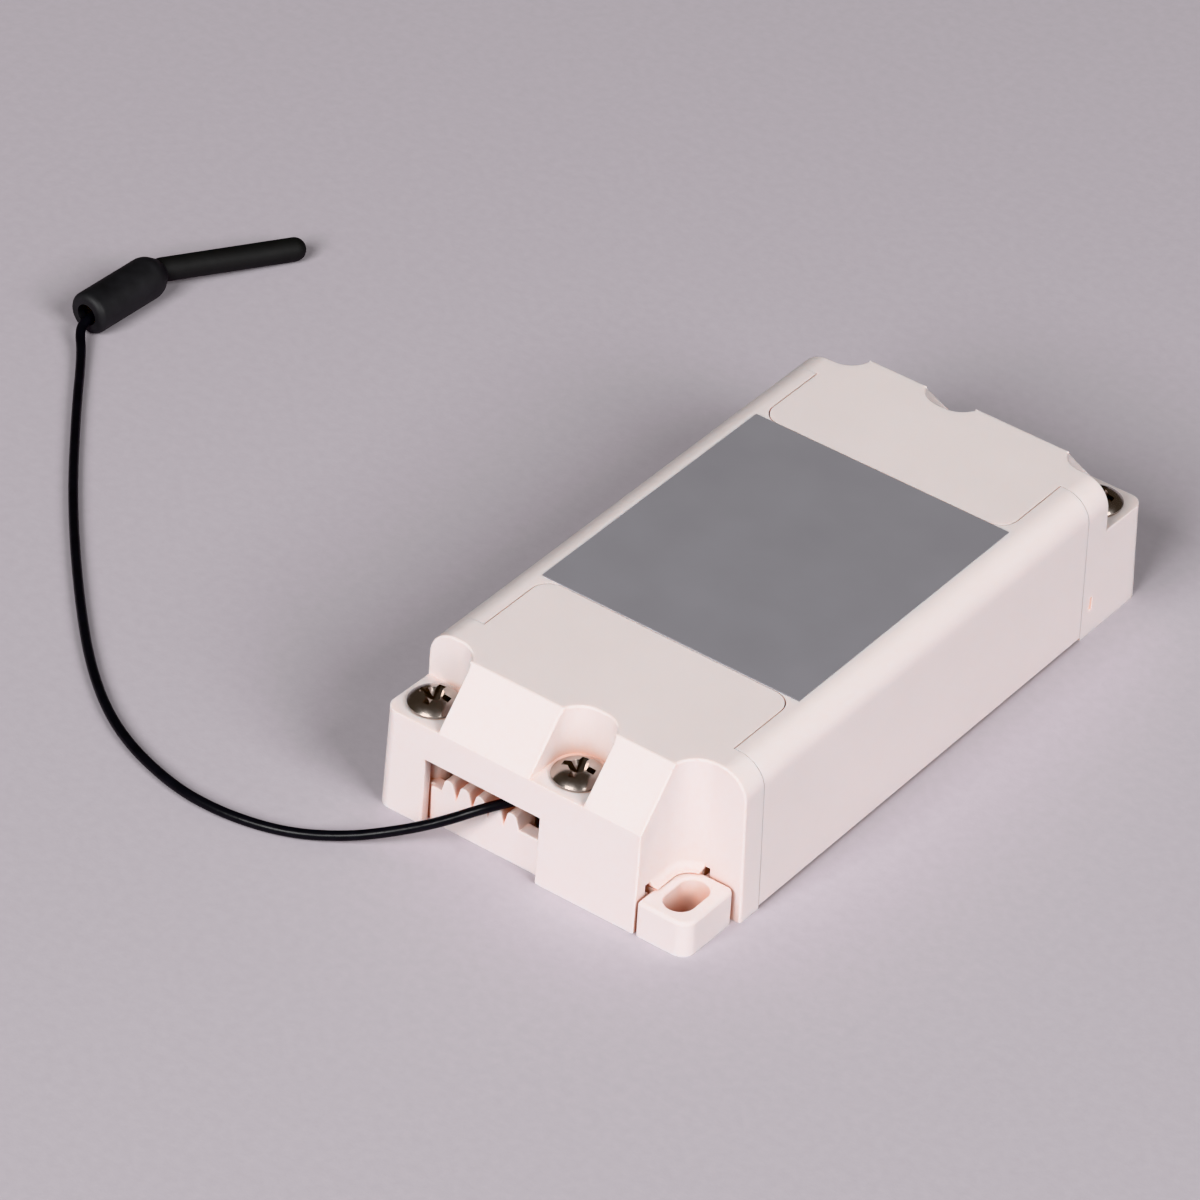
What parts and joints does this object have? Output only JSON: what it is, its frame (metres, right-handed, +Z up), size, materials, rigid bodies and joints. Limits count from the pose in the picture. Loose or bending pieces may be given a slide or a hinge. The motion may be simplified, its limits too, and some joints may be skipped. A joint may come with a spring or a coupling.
{
  "type": "light controller",
  "caption": "Slim plastic light controller with lift-off terminal covers, diagonal screw ears, screw terminals inside and a wire antenna on a thin lead.",
  "frame": {"origin": "middle of the housing's underside", "axes": "+Y along the length, away from the antenna end; +Z up from the mounting face"},
  "size_m": [0.1485, 0.1168, 0.0229],
  "materials": {
    "housing_plastic": "fine matt moulded",
    "screw_steel": "nickel plated",
    "label_film": "matt grey film",
    "board_laminate": "green solder mask",
    "module_laminate": "blue solder mask",
    "block_plastic": "satin green",
    "plated_metal": "tin plated",
    "contact_brass": "gold flashed",
    "capacitor_sleeve": "black shrink sleeve",
    "ferrite": "matt grey ferrite",
    "chip_plastic": "moulded epoxy",
    "fuse_plastic": "moulded brown",
    "capacitor_ceramic": "tan ceramic",
    "lead_jacket": "satin black jacket",
    "antenna_jacket": "matt black heat-shrink"
  },
  "bodies": {
    "housing": {"base_tray": "housing_plastic", "main_cover": "housing_plastic", "rating_label": "label_film", "circuit_board": "board_laminate", "front_terminal_block": "block_plastic", "rear_terminal_block": "block_plastic", "front_wire_cages": "plated_metal", "rear_wire_cages": "plated_metal", "radio_module_board": "module_laminate", "radio_module_shield": "plated_metal", "antenna_socket": "contact_brass", "antenna_plug": "contact_brass", "bulk_capacitor": "capacitor_sleeve", "power_inductor": "ferrite", "power_transistors": "chip_plastic", "driver_chip": "chip_plastic", "fuse": "fuse_plastic", "ceramic_capacitors": "capacitor_ceramic", "antenna_lead_inside": "lead_jacket", "antenna_lead": "lead_jacket", "antenna_sleeve": "antenna_jacket", "antenna_brass_tube": "contact_brass", "antenna_tip": "antenna_jacket"},
    "front_cover": {"front_terminal_cover": "housing_plastic"},
    "rear_cover": {"rear_terminal_cover": "housing_plastic"},
    "front_corner_screw": {"front_corner_screw": "screw_steel"},
    "front_centre_screw": {"front_centre_screw": "screw_steel"},
    "rear_corner_screw": {"rear_corner_screw": "screw_steel"},
    "rear_centre_screw": {"rear_centre_screw": "screw_steel"},
    "front_clamp_screw_1": {"front_clamp_screw_1": "screw_steel"},
    "front_clamp_screw_2": {"front_clamp_screw_2": "screw_steel"},
    "rear_clamp_screw_1": {"rear_clamp_screw_1": "screw_steel"},
    "rear_clamp_screw_2": {"rear_clamp_screw_2": "screw_steel"}
  },
  "joints": [
    {"name": "front_cover_lift", "type": "slide", "parent": "housing", "child": "front_cover", "axis": [0, 0, 1], "range_m": [0, 0.026]},
    {"name": "rear_cover_lift", "type": "slide", "parent": "housing", "child": "rear_cover", "axis": [0, 0, 1], "range_m": [0, 0.026]},
    {"name": "front_corner_screw_out", "type": "slide", "parent": "front_cover", "child": "front_corner_screw", "axis": [0, 0, 1], "range_m": [0, 0.014]},
    {"name": "front_centre_screw_out", "type": "slide", "parent": "front_cover", "child": "front_centre_screw", "axis": [0, 0, 1], "range_m": [0, 0.014]},
    {"name": "front_clamp_screw_1_out", "type": "slide", "parent": "housing", "child": "front_clamp_screw_1", "axis": [0, 0, 1], "range_m": [0, 0.0018]},
    {"name": "front_clamp_screw_2_out", "type": "slide", "parent": "housing", "child": "front_clamp_screw_2", "axis": [0, 0, 1], "range_m": [0, 0.0018]},
    {"name": "rear_corner_screw_out", "type": "slide", "parent": "rear_cover", "child": "rear_corner_screw", "axis": [0, 0, 1], "range_m": [0, 0.014]},
    {"name": "rear_centre_screw_out", "type": "slide", "parent": "rear_cover", "child": "rear_centre_screw", "axis": [0, 0, 1], "range_m": [0, 0.014]},
    {"name": "rear_clamp_screw_1_out", "type": "slide", "parent": "housing", "child": "rear_clamp_screw_1", "axis": [0, 0, 1], "range_m": [0, 0.0018]},
    {"name": "rear_clamp_screw_2_out", "type": "slide", "parent": "housing", "child": "rear_clamp_screw_2", "axis": [0, 0, 1], "range_m": [0, 0.0018]}
  ]
}
